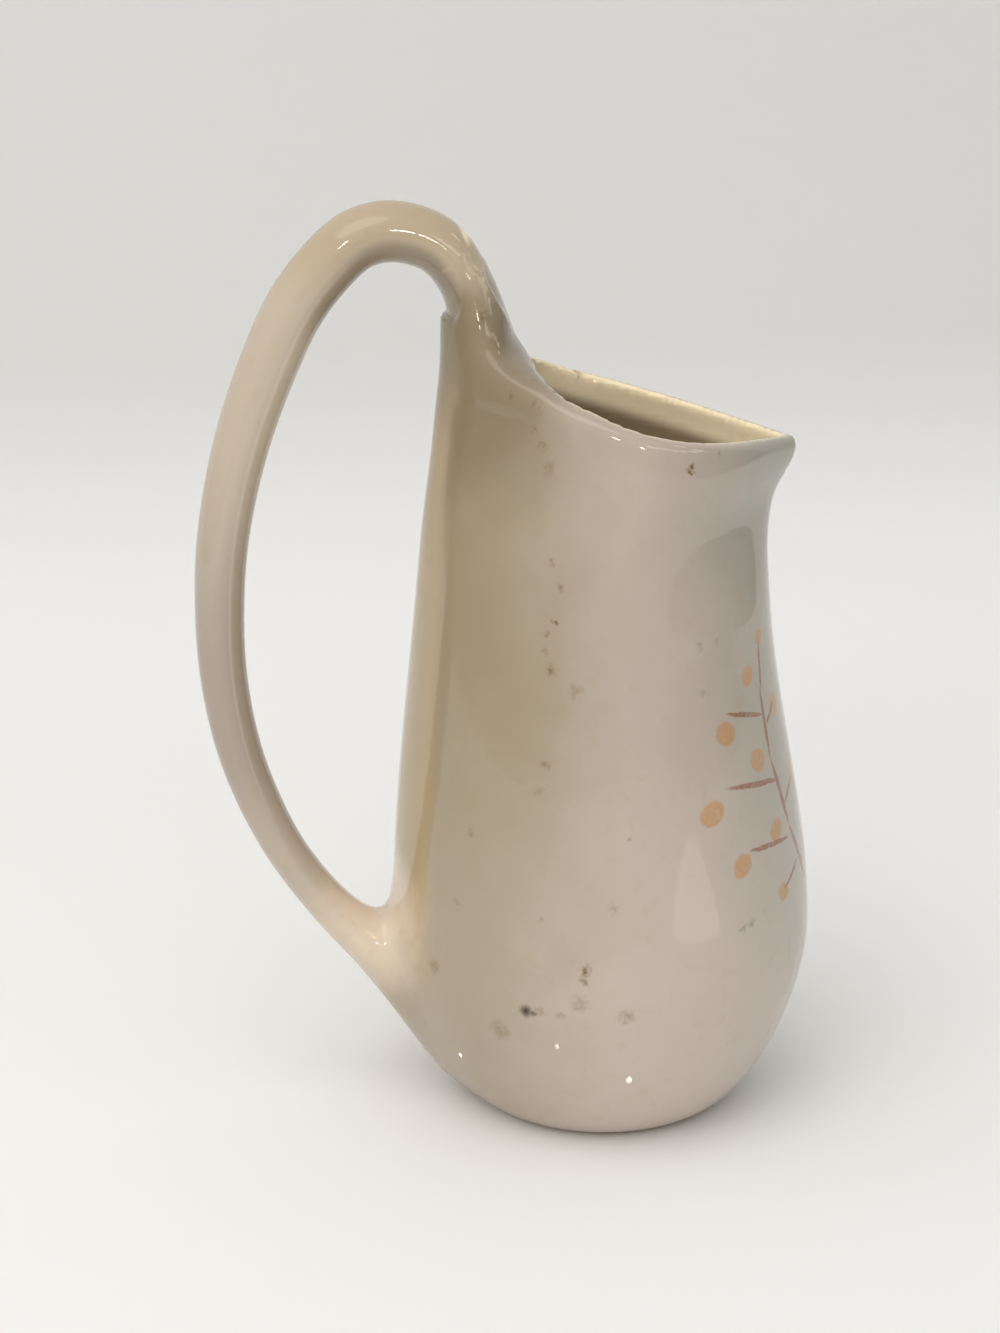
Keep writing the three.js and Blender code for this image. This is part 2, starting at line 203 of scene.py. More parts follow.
# Stains on the glaze, in millimetres about the axis: place, radius, and how deep each is.
BROWN_STAINS = (
    (-23.5, -9.5, 147.5, 1.5, 0.55), (-21.5, -10.5, 144.0, 0.8, 0.45), (-16.0, -17.5, 137.5, 0.9, 0.35),
    (-19.5, -17.5, 135.5, 1.2, 0.7), (-16.2, -20.8, 134.3, 1.5, 0.6), (-15.4, -21.8, 132.8, 1.0, 0.6),
    (-16.6, -21.4, 130.4, 1.0, 0.3), (-15.5, -22.7, 128.0, 1.4, 0.35), (-14.7, -23.8, 124.4, 1.6, 0.3),
    (-14.6, -27.0, 109.0, 0.9, 0.45), (-13.5, -28.0, 105.0, 1.1, 0.5), (-14.3, -28.4, 99.0, 0.8, 0.7),
    (-15.4, -28.1, 97.0, 0.9, 0.4), (-16.0, -28.1, 94.2, 1.1, 0.4), (-15.1, -29.1, 90.8, 1.5, 0.5),
    (-11.3, -31.1, 87.7, 1.8, 0.28), (-16.2, -30.9, 74.7, 1.1, 0.4), (-17.4, -31.0, 70.0, 1.5, 0.25),
    (-28.2, -24.0, 60.7, 1.2, 0.28), (-2.6, -36.2, 62.5, 0.7, 0.55), (-30.6, -23.0, 47.4, 1.0, 0.25),
    (-5.4, -37.3, 50.2, 1.7, 0.2), (-17.4, -33.8, 47.7, 1.0, 0.3), (-34.0, -18.6, 33.4, 2.2, 0.35),
    (-10.1, -37.1, 39.0, 1.4, 0.75), (-10.4, -37.1, 37.0, 1.2, 0.5), (-11.0, -36.9, 33.0, 2.6, 0.25),
    (-23.7, -29.1, 25.4, 2.8, 0.35), (-14.4, -35.5, 30.3, 1.4, 0.3), (-17.4, -34.2, 30.8, 1.4, 0.35),
    (-3.0, -38.2, 30.6, 2.4, 0.3), (8.2, -29.4, 124.7, 1.1, 0.75), (14.1, -24.9, 125.9, 0.9, 0.45),
    (0.1, 27.5, 131.0, 1.6, 0.8),
)
SPOT_CORE = 0.1
DARK_PINHOLES = ((-19.8, -32.8, 30.4, 1.7, 0.95), (-18.7, -33.4, 30.1, 1.0, 0.7))
GREEN_TRACES = (
    (10.4, -29.4, 94.0, 1.2, 0.4), (13.8, -27.6, 94.4, 1.0, 0.45), (10.8, -30.3, 86.1, 1.0, 0.3),
    (20.4, -31.9, 43.8, 1.1, 0.55), (18.6, -33.0, 43.2, 1.3, 0.6), (23.5, -30.3, 45.0, 1.2, 0.35),
)

# The painted sprig, on a chart of the body unrolled at one radius: place around, from the middle of
# the side that faces the camera towards the spout, and height, then length, width and turn of each
# dab of the brush.
CHART_RADIUS = 36.0
SPRIG_DABS = (
    (13.0, 65.0, 6.2, 5.0, 20.0), (17.5, 78.0, 5.8, 4.8, -15.0), (19.0, 54.5, 5.2, 4.4, 40.0),
    (25.5, 86.5, 5.0, 4.2, 10.0), (26.0, 71.5, 5.6, 4.8, -30.0), (29.5, 58.0, 5.2, 4.4, 30.0),
    (36.0, 79.0, 6.0, 5.0, 0.0), (41.0, 65.0, 5.6, 4.8, 50.0), (31.5, 92.0, 4.0, 3.2, 20.0),
    (45.5, 53.0, 5.2, 4.4, 10.0), (30.0, 46.5, 4.4, 3.6, -20.0),
)
SPRIG_LINES = (
    (38.5, 51.0, 16.0, 1.6, 118.0), (33.0, 64.0, 16.0, 1.5, 108.0), (30.3, 77.0, 15.0, 1.3, 94.0),
    (30.8, 87.0, 10.0, 1.1, 84.0), (25.0, 67.5, 19.0, 1.2, 172.0), (24.0, 80.0, 14.0, 1.1, 168.0),
    (27.5, 56.0, 15.0, 1.1, 174.0), (33.2, 78.0, 7.0, 1.0, 30.0), (37.5, 63.0, 9.0, 1.0, 25.0),
    (34.0, 48.5, 9.0, 1.0, 25.0), (42.5, 50.0, 8.0, 1.0, 40.0),
)

# The paper sweep, in millimetres from the creamer's axis. Its colour is painted darker where it rises
# behind: painted shade, as the upright part gets less light than the table.
TABLE_PAPER, SHADED_RISE_PAPER = "#faf9f7", "#e7e6e4"
SWEEP_FRONT, SWEEP_START, SWEEP_BACK = -1400.0, 190.0, 345.0
SWEEP_RISE, SWEEP_TOP, SWEEP_HALF_WIDTH = 80.0, 1200.0, 640.0
SWEEP_STEPS = 24
PAPER_SHADE_RISE = 70.0

# Azimuth, elevation, size in millimetres and brightness of each lamp overhead.
CEILING_LAMPS = (
    (3.0, 20.0, 140.0, 30.0), (-21.0, 25.0, 130.0, 30.0), (20.0, 33.0, 230.0, 4.0),
    (32.0, 34.0, 230.0, 3.0), (44.0, 33.0, 230.0, 2.5), (57.0, 31.0, 230.0, 2.5),
    (70.0, 28.0, 230.0, 2.5), (83.0, 27.0, 230.0, 2.5), (95.0, 30.0, 230.0, 3.0),
    (101.0, 46.0, 230.0, 3.0),
)

# The lamps' images in the table top: the place on the body where each shows, then its azimuth,
# elevation, distance and size.
TABLE_GLEAMS = (
    (-1.7, -34.5, 16.4, 22.0, -68.0, 14.0, 1.8), (-14.5, -34.2, 23.9, -41.0, -54.0, 24.0, 1.4),
    (-29.3, -18.1, 15.5, -141.0, -46.0, 18.0, 1.2),
)
TABLE_GLEAM_BRIGHTNESS = 12.0
LAMP_AIM = (0.0, 0.0, 90.0)
TABLE_AIM = (10.0, -37.0, 40.0)

# Where the camera stands and looks: degrees, millimetres, and its lens on a 36 mm sensor.
CAMERA_AZIMUTH, CAMERA_ELEVATION, CAMERA_DISTANCE = -9.0, 17.32, 450.0
CAMERA_AIM = (-19.14, 0.0, 82.8)
CAMERA_LENS, CAMERA_SENSOR = 90.2, 36.0


def smooth_min(a, b, reach):
    """The lower of two fields, with the edge between them filled over the given reach."""
    near = np.maximum(reach - np.abs(a - b), 0.0) / reach
    return np.minimum(a, b) - near ** 3 * reach / 6


def smooth_max(a, b, reach):
    """The higher of two fields, with the edge between them rounded over the given reach."""
    return -smooth_min(-a, -b, reach)


def eased(value, start, end, first=0.0, last=1.0):
    """Eases from first to last as the value runs from start to end, either way."""
    share = np.clip((value - start) / (end - start), 0.0, 1.0)
    return first + (last - first) * share * share * (3 - 2 * share)


def cubic(places, values, slopes, at):
    """A curve through the values with the given slopes."""
    low = np.clip(np.searchsorted(places, at) - 1, 0, len(places) - 2)
    run = places[low + 1] - places[low]
    share = np.clip((at - places[low]) / run, 0.0, 1.0)
    square, cube = share ** 2, share ** 3
    return ((2 * cube - 3 * square + 1) * values[low]
            + (cube - 2 * square + share) * run * slopes[low]
            + (3 * square - 2 * cube) * values[low + 1]
            + (cube - square) * run * slopes[low + 1])


def flowing(places, values, at):
    """A curve through the values that never swings past one of them."""
    slope = np.diff(values) / np.diff(places)
    before, after = slope[:-1], slope[1:]
    inner = np.where(before * after > 0, 2 * before * after / (before + after + 1e-12), 0.0)
    return cubic(places, values, np.concatenate([[0.0], inner, [slope[-1]]]), at)


def wall_table():
    """The wall's height, front, back, side and draw in fine steps, softened so that gleams flow."""
    heights = np.arange(-20.0, 190.0, WALL_STEP)
    rise = np.clip(heights / LEVELS[0, 0], 0.0, 1.0)
    bulge = (1 - (1 - rise) ** LOWER_FULLNESS) ** (1 / LOWER_FULLNESS)
    reach = np.arange(-WALL_SOFT_STEPS, WALL_SOFT_STEPS + 1) * WALL_STEP
    weights = np.exp(-0.5 * (reach / LEVEL_SOFTNESS) ** 2)
    weights /= weights.sum()
    columns = [heights]
    for column in (1, 2, 3, 4):
        foot = FOOT_RADIUS if column < 4 else 0.0
        upper = flowing(LEVELS[:, 0], LEVELS[:, column], heights)
        lower = foot + (LEVELS[0, column] - foot) * bulge
        values = np.where(heights < LEVELS[0, 0], lower, upper)
        soft = np.convolve(np.pad(values, WALL_SOFT_STEPS, mode="edge"), weights, mode="valid")
        blend = eased(heights, SOFT_FROM, SOFT_FULLY)
        columns.append(values * (1 - blend) + soft * blend)
    return np.array(columns)


WALL_TABLE = wall_table()


def oval_share(x, y, z):
    """How far out a point lies between the vessel's axis, 0, and its outer wall, 1."""
    heights, front_row, back_row, side_row, draw_row = WALL_TABLE
    front = np.interp(z, heights, front_row)
    back = np.interp(z, heights, back_row)
    side = np.interp(z, heights, side_row)
    middle, half = (front - back) / 2, (front + back) / 2
    along = (x - middle) / half
    pinch = eased(z, PINCH_FROM, PINCH_TO, 0.0, PINCH)
    ahead = np.clip(along, 0.0, 1.0)
    behind = np.clip(-along, 0.0, 1.0)
    draw = np.interp(z, heights, draw_row)
    across = y / (side * (1 - pinch * ahead * ahead - draw * behind ** NECK_DRAW_POWER))
    return np.sqrt(along * along + across * across + 1e-9)


def outer_distance(x, y, z):
    """Distance from the vessel's outer wall, to first order."""
    step = 0.25
    here = oval_share(x, y, z)
    slope_x = (oval_share(x + step, y, z) - oval_share(x - step, y, z)) / (2 * step)
    slope_y = (oval_share(x, y + step, z) - oval_share(x, y - step, z)) / (2 * step)
    slope_z = (oval_share(x, y, z + step) - oval_share(x, y, z - step)) / (2 * step)
    return (here - 1) / np.sqrt(slope_x ** 2 + slope_y ** 2 + slope_z ** 2 + 1e-6)


def mouth_distance(x, y, z):
    """How far a point lies inside the space that the mouth's cut leaves open, over the rim."""
    rim = flowing(RIM[:, 0], RIM[:, 1], np.clip(x, RIM[0, 0], RIM[-1, 0]))
    hood_edge = eased(np.abs(y), HOOD_BESIDE_FROM, HOOD_BESIDE_TO, HOOD_EDGE, HOOD_EDGE_BESIDE)
    return smooth_max(rim - z, hood_edge - x, HOOD_CORNER)


def handle_line():
    """The handle's centre line in fine steps, with direction, thickness and width along it."""
    points = HANDLE[:, :2]
    gaps = np.sqrt(np.linalg.norm(np.diff(points, axis=0), axis=1))
    knots = np.concatenate([[0.0], np.cumsum(gaps)])
    fine = np.linspace(0.0, knots[-1], HANDLE_STEPS)
    weights = np.hanning(2 * HANDLE_SOFT_STEPS + 1) / HANDLE_SOFT_STEPS
    columns = []
    for column in range(4):
        slopes = np.gradient(HANDLE[:, column], knots)
        value = cubic(knots, HANDLE[:, column], slopes, fine)
        padded = np.pad(value, HANDLE_SOFT_STEPS, mode="reflect", reflect_type="odd")
        columns.append(np.convolve(padded, weights, mode="valid"))
    line = np.array(columns).T
    along = np.gradient(line[:, :2], axis=0)
    along /= np.linalg.norm(along, axis=1)[:, None]
    return line, along


HANDLE_LINE, HANDLE_ALONG = handle_line()


def handle_distance(x, y, z):
    """Distance from the handle's oval sweep, to first order. Far away it is just a large number."""
    shape = x.shape
    x, y, z = x.ravel(), y.ravel(), z.ravel()
    result = np.full(x.shape, FAR_FROM_HANDLE)
    near = np.flatnonzero(np.abs(y) < HANDLE_HALF_REACH)
    for start in range(0, len(near), POINTS_AT_ONCE):
        part = near[start:start + POINTS_AT_ONCE]
        dx = x[part, None] - HANDLE_LINE[None, ::HANDLE_STRIDE, 0]
        dz = z[part, None] - HANDLE_LINE[None, ::HANDLE_STRIDE, 1]
        coarse = np.argmin(dx * dx + dz * dz, axis=1) * HANDLE_STRIDE
        best = np.clip(coarse, 1, len(HANDLE_LINE) - 2)
        offset = np.stack([x[part], z[part]], axis=1) - HANDLE_LINE[best, :2]
        step = np.sum(offset * HANDLE_ALONG[best], axis=1)
        pace = np.linalg.norm(HANDLE_LINE[best + 1, :2] - HANDLE_LINE[best - 1, :2], axis=1) / 2
        place = np.clip(best + step / pace, 0, len(HANDLE_LINE) - 1.001)
        low = place.astype(int)
        share = (place - low)[:, None]
        row = HANDLE_LINE[low] * (1 - share) + HANDLE_LINE[low + 1] * share
        along = HANDLE_ALONG[low] * (1 - share) + HANDLE_ALONG[low + 1] * share
        offset = np.stack([x[part], z[part]], axis=1) - row[:, :2]
        across = offset[:, 0] * along[:, 1] - offset[:, 1] * along[:, 0]
        beyond = offset[:, 0] * along[:, 0] + offset[:, 1] * along[:, 1]
        thick, wide = row[:, 2] / 2, row[:, 3] / 2
        share_out = np.sqrt((across / thick) ** 2 + (y[part] / wide) ** 2 + (beyond / thick) ** 2 + 1e-9)
        slope = np.sqrt((across / thick ** 2) ** 2 + (y[part] / wide ** 2) ** 2
                        + (beyond / thick ** 2) ** 2 + 1e-9) / share_out
        result[part] = (share_out - 1) / slope
    return result.reshape(shape)


def glaze_field(x, y, z):
    """Signed distance from the creamer's glazed surface, negative in the ceramic."""
    wall = outer_distance(x, y, z)
    neck_end = NECK_SEAT - LEDGE_DEPTH + eased(x, LEDGE_BACK, LEDGE_FRONT, 0.0, NECK_CARRIED_ON)
    vessel_form = smooth_max(wall, z - neck_end, LEDGE_ROUNDING)
    ledge = eased(x, LEDGE_FRONT, LEDGE_BACK, LEDGE_TIGHTNESS_FRONT, LEDGE_TIGHTNESS_BACK)
    ledge *= eased(z, NECK_BLEND_FROM, NECK_BLEND_TO)
    blend = eased(z, HEEL_BLEND_TO, HEEL_BLEND_FROM, NECK_BLEND, HEEL_BLEND)
    form = smooth_min(vessel_form, handle_distance(x, y, z), blend * (1 - ledge))
    lip = eased(x, LIP_AHEAD, LIP_BEHIND, LIP_OUTSIDE, LIP_OUTSIDE_AT_NECK)
    form = smooth_max(form, -mouth_distance(x, y, z), lip)
    hollow = smooth_max(wall + WALL, FLOOR - z, FLOOR_ROUNDING)
    hollow = smooth_max(hollow, z - CEILING, CEILING_ROUNDING)
    form = smooth_max(form, -hollow, LIP_INSIDE)
    form = smooth_max(form, -z, FOOT_ROUNDING)
    recess = np.maximum(np.hypot(x, y) - (FOOT_RADIUS - FOOT_RING), z - FOOT_RECESS)
    return smooth_max(form, -recess, RECESS_ROUNDING)


def field_slope(points):
    """Which way the field rises, and how fast."""
    slope = np.empty_like(points)
    for axis in range(3):
        shift = np.zeros(3)
        shift[axis] = SLOPE_STEP
        ahead, behind = points + shift, points - shift
        slope[:, axis] = (glaze_field(*ahead.T) - glaze_field(*behind.T)) / (2 * SLOPE_STEP)
    return slope


def settle(points, rounds, kept=()):
    """Moves points onto the glazed surface, along its slope. Kept: points that hold to a plane."""
    for _ in range(rounds):
        slope = field_slope(points)
        value = glaze_field(*points.T)
        for seated, axis in kept:
            slope[seated, axis] = 0.0
        step = value / (np.sum(slope ** 2, axis=1) + 1e-6)
        points = points - slope * np.clip(step, -LONGEST_STEP, LONGEST_STEP)[:, None]
    return points


def surface_net(field, origin, cell):
    """Points and quads of the surface where a field, known at the nodes of a grid, changes sign."""
    inside = field < 0
    corners = [(i, j, k) for i in (0, 1) for j in (0, 1) for k in (0, 1)]
    shape = tuple(size - 1 for size in field.shape)

    def shifted(grid, corner):
        i, j, k = corner
        return grid[i:i + shape[0], j:j + shape[1], k:k + shape[2]]

    count = sum(shifted(inside, corner).astype(np.int8) for corner in corners)
    cells = np.argwhere((count > 0) & (count < 8))
    number = np.full(shape, -1, np.int64)
    number[tuple(cells.T)] = np.arange(len(cells))
    total = np.zeros((len(cells), 3))
    hits = np.zeros(len(cells))
    values = {corner: field[tuple((cells + corner).T)] for corner in corners}
    for corner in corners:
        for axis in range(3):
            if corner[axis]:
                continue
            other = tuple(1 if index == axis else corner[index] for index in range(3))
            a, b = values[corner], values[other]
            cross = (a < 0) != (b < 0)
            share = np.where(cross, a / np.where(cross, a - b, 1.0), 0.0)
            place = np.array(corner, float)[None, :].repeat(len(cells), 0)
            place[:, axis] = share
            total += place * cross[:, None]
            hits += cross
    points = origin + (cells + total / hits[:, None]) * cell
    quads = []
    for axis in range(3):
        first, second = [index for index in range(3) if index != axis]
        here = inside[tuple(slice(1, -1) if index != axis else slice(0, -1) for index in range(3))]
        there = inside[tuple(slice(1, -1) if index != axis else slice(1, None) for index in range(3))]
        edges = np.argwhere(here != there)
        if not len(edges):
            continue
        outward = here[tuple(edges.T)]
        base = edges + np.array([0 if index == axis else 1 for index in range(3)])
        ring = []
        for back_first, back_second in ((1, 1), (0, 1), (0, 0), (1, 0)):
            spot = base.copy()
            spot[:, first] -= back_first
            spot[:, second] -= back_second
            ring.append(number[tuple(spot.T)])
        ring = np.stack(ring, axis=1)
        flip = outward if axis != 1 else ~outward
        ring[~flip] = ring[~flip][:, ::-1]
        quads.append(ring)
    return points, np.concatenate(quads)


def meshed_field():
    """The whole glazed surface as evenly spaced points and quads, in millimetres about the axis."""
    low = np.array([-HEEL_SEAT - 3 * CELL, -GRID_HALF_WIDTH, -1.4 * CELL])
    high = np.array([GRID_FRONT, GRID_HALF_WIDTH, NECK_SEAT + 3 * CELL])
    sizes = np.ceil((high - low) / CELL).astype(int) + 1
    axes = [low[index] + np.arange(sizes[index]) * CELL for index in range(3)]
    field = np.empty(sizes)
    for first in range(0, sizes[0], LAYERS_AT_ONCE):
        layers = slice(first, first + LAYERS_AT_ONCE)
        x, y, z = np.meshgrid(axes[0][layers], axes[1], axes[2], indexing="ij")
        field[layers] = glaze_field(x, y, z)
    field[0], field[:, :, -1] = 1.0, 1.0
    points, quads = surface_net(field, low, CELL)
    free = (points[:, 0] > low[0] + 1.6 * CELL) & (points[:, 2] < high[2] - 1.6 * CELL)
    edges = np.concatenate([quads[:, [0, 1]], quads[:, [1, 2]], quads[:, [2, 3]], quads[:, [3, 0]]])
    for _ in range(EVENING_ROUNDS):
        total = np.zeros_like(points)
        count = np.zeros(len(points))
        for a, b in ((0, 1), (1, 0)):
            np.add.at(total, edges[:, a], points[edges[:, b]])
            np.add.at(count, edges[:, a], 1)
        points[free] += 0.5 * (total[free] / count[free, None] - points[free])
        points[free] = settle(points[free], 1)
    points[free] = settle(points[free], 2)
    return points, quads


# Settings that many nodes share.
EASED = {"interpolation_type": "SMOOTHSTEP"}
COLOUR = {"data_type": "RGBA"}


def linear(hex_colour):
    """An sRGB hex colour as linear red, green, blue and alpha."""
    channels = [int(hex_colour[index:index + 2], 16) / 255 for index in (1, 3, 5)]
    return tuple(c / 12.92 if c <= 0.04045 else ((c + 0.055) / 1.055) ** 2.4 for c in channels) + (1.0,)


def add_node(tree, kind, settings=None, inputs=None):
    """Adds a node, sets its properties, and sets or links its inputs."""
    node = tree.nodes.new(kind)
    for name, value in (settings or {}).items():
        setattr(node, name, value)
    for name, value in (inputs or {}).items():
        socket = node.inputs[name]
        if isinstance(value, bpy.types.NodeSocket):
            tree.links.new(value, socket)
        else:
            socket.default_value = value
    return node


def glazed_normals(mesh, to_world):
    """Gives every corner the field's own direction, so that the seams at the seats don't show.

    It also notes on each point how far it lies inside, how deep it lies in the painted shade below the
    rim, how far it lies in a hollow, for painted shade there, how far it faces the back, for a painted
    reflection, and how far it lies under the loop's crown, for painted shade there.
    """
    points = np.empty(len(mesh.vertices) * 3)
    mesh.vertices.foreach_get("co", points)
    points = points.reshape(-1, 3) / MM - to_world
    slope = field_slope(points)
    slope /= np.linalg.norm(slope, axis=1)[:, None]
    corners = np.empty(len(mesh.loops), np.int64)
    mesh.loops.foreach_get("vertex_index", corners)
    normals = slope[corners]
    for polygon in mesh.polygons:
        if len(polygon.vertices) > 8:
            normals[polygon.loop_start:polygon.loop_start + polygon.loop_total] = polygon.normal
    mesh.shade_smooth()
    mesh.normals_split_custom_set(normals.tolist())
    x, y, z = points.T
    # The inside is painted far paler than the outside: partly its own cream, partly painted light.
    inner = eased(-outer_distance(x, y, z), INSIDE_FROM, INSIDE_TO)
    inner *= (z > INSIDE_ABOVE) & (np.hypot(x - INSIDE_MIDDLE, y) < INSIDE_RADIUS)
    depth = np.interp(x, RIM[:, 0], RIM[:, 1]) - z
    # Painted reflection: surfaces facing the back take a lighter tint, as the bright backdrop would show
    # in the glaze there.
    back = eased(slope[:, 0], BACK_SLOPE_FROM, BACK_SLOPE_TO)
    back *= eased(x, BACK_FROM, BACK_TO) * eased(z, BACK_TOP, BACK_FULLY)
    # Painted shade: the lower face of the loop's crown is painted darker.
    underside_shade = eased(slope[:, 2], 0.0, UNDERSIDE_SLOPE, 0.0, UNDERSIDE_STRENGTH)
    underside_shade *= eased(z, UNDERSIDE_FROM, UNDERSIDE_TO)
    shares = {
        "inner_share": inner,
        # Painted shade: the inside darkens from a little below the rim downwards.
        "deep_shade_share": inner * eased(depth, DEEP_SHADE_FROM, DEEP_SHADE_TO),
        # Painted shade: hollows in the form are painted darker and greener.
        "hollow_shade_share": hollow_shade_share(points, slope),
        "back_reflection_share": back,
        "underside_shade_share": underside_shade,
    }
    for name, values in shares.items():
        attribute = mesh.attributes.new(name, "FLOAT", "POINT")
        attribute.data.foreach_set("value", values.astype(np.float32))


def hollow_shade_share(points, outward):
    """How far the surface turns inwards near each point: 0 on a swell, and most in a tight hollow,
    where it sets the painted shade of the hollows.
    """
    off = points + outward * HOLLOW_LIFT
    total = np.zeros(len(points))
    for axis in range(3):
        for sign in (-1, 1):
            shift = np.zeros(3)
            shift[axis] = sign * HOLLOW_REACH
            total += glaze_field(*(off + shift).T)
    return eased(6 * glaze_field(*off.T) - total, HOLLOW_SHADE_FROM, HOLLOW_SHADE_TO, 0.0, HOLLOW_SHADE_STRENGTH)


def vessel(to_world):
    """The cast body, from the foot ring to the neck's seat, with its heel seat."""
    points, quads = meshed_field()
    shell = bmesh.new()
    vertices = [shell.verts.new(point) for point in points]
    for quad in quads:
        shell.faces.new([vertices[index] for index in quad])
    for seat, normal in (((0, 0, NECK_SEAT), (0, 0, 1)), ((-HEEL_SEAT, 0, 0), (-1, 0, 0))):
        everything = shell.verts[:] + shell.edges[:] + shell.faces[:]
        cut = bmesh.ops.bisect_plane(
            shell, geom=everything, dist=1e-4, plane_co=seat, plane_no=normal, clear_outer=True)
        rim = [item for item in cut["geom_cut"] if isinstance(item, bmesh.types.BMEdge)]
        bmesh.ops.holes_fill(shell, edges=rim, sides=0)
    bmesh.ops.recalc_face_normals(shell, faces=shell.faces[:])
    bmesh.ops.translate(shell, verts=shell.verts[:], vec=to_world)
    bmesh.ops.scale(shell, verts=shell.verts[:], vec=(MM, MM, MM))
    mesh = bpy.data.meshes.new("glazed_body")
    shell.to_mesh(mesh)
    shell.free()
    glazed_normals(mesh, to_world)
    body = bpy.data.objects.new("glazed_body", mesh)
    bpy.context.scene.collection.objects.link(body)
    return body


def sweep_tree():
    """A sweep along a line of points, whose oval section is set by each point's own attributes."""
    tree = bpy.data.node_groups.new("handle_sweep", "GeometryNodeTree")
    tree.interface.new_socket("Line", in_out="INPUT", socket_type="NodeSocketGeometry")
    rings = tree.interface.new_socket("Rings", in_out="INPUT", socket_type="NodeSocketInt")
    sides = tree.interface.new_socket("Sides", in_out="INPUT", socket_type="NodeSocketInt")
    glaze = tree.interface.new_socket("Glaze", in_out="INPUT", socket_type="NodeSocketMaterial")
    tree.interface.new_socket("Handle", in_out="OUTPUT", socket_type="NodeSocketGeometry")
    entry = add_node(tree, "NodeGroupInput")
    line = add_node(tree, "GeometryNodeMeshToCurve", inputs={"Mesh": entry.outputs["Line"]})
    even = add_node(tree, "GeometryNodeResampleCurve", inputs={
        "Curve": line.outputs["Curve"], "Count": entry.outputs["Rings"]})
    place = add_node(tree, "GeometryNodeInputPosition")
    centre = add_node(tree, "GeometryNodeStoreNamedAttribute",
                      {"data_type": "FLOAT_VECTOR", "domain": "POINT"},
                      {"Geometry": even.outputs["Curve"], "Name": "centre", "Value": place.outputs[0]})
    circle = add_node(tree, "GeometryNodeCurvePrimitiveCircle", inputs={
        "Resolution": entry.outputs["Sides"], "Radius": 1.0})
    ring = add_node(tree, "GeometryNodeStoreNamedAttribute",
                    {"data_type": "FLOAT_VECTOR", "domain": "POINT"},
                    {"Geometry": circle.outputs["Curve"], "Name": "round", "Value": place.outputs[0]})
    tube = add_node(tree, "GeometryNodeCurveToMesh", inputs={
        "Curve": centre.outputs[0], "Profile Curve": ring.outputs[0], "Fill Caps": True})
    on_ring, across, beside, middle = [
        add_node(tree, "GeometryNodeInputNamedAttribute", {"data_type": "FLOAT_VECTOR"},
                 {"Name": name}).outputs["Attribute"]
        for name in ("round", "across", "beside", "centre")]
    turn = add_node(tree, "ShaderNodeSeparateXYZ", inputs={"Vector": on_ring})
    thick = add_node(tree, "ShaderNodeVectorMath", {"operation": "SCALE"},
                     {"Vector": across, "Scale": turn.outputs["X"]})
    wide = add_node(tree, "ShaderNodeVectorMath", {"operation": "SCALE"},
                    {"Vector": beside, "Scale": turn.outputs["Y"]})
    offset = add_node(tree, "ShaderNodeVectorMath", {"operation": "ADD"},
                      {0: thick.outputs[0], 1: wide.outputs[0]})
    target = add_node(tree, "ShaderNodeVectorMath", {"operation": "ADD"},
                      {0: middle, 1: offset.outputs[0]})
    shaped = add_node(tree, "GeometryNodeSetPosition", inputs={
        "Geometry": tube.outputs["Mesh"], "Position": target.outputs[0]})
    real = add_node(tree, "GeometryNodeRealizeInstances", inputs={"Geometry": shaped.outputs[0]})
    dressed = add_node(tree, "GeometryNodeSetMaterial", inputs={
        "Geometry": real.outputs[0], "Material": entry.outputs["Glaze"]})
    add_node(tree, "NodeGroupOutput", inputs={"Handle": dressed.outputs[0]})
    return tree, rings.identifier, sides.identifier, glaze.identifier


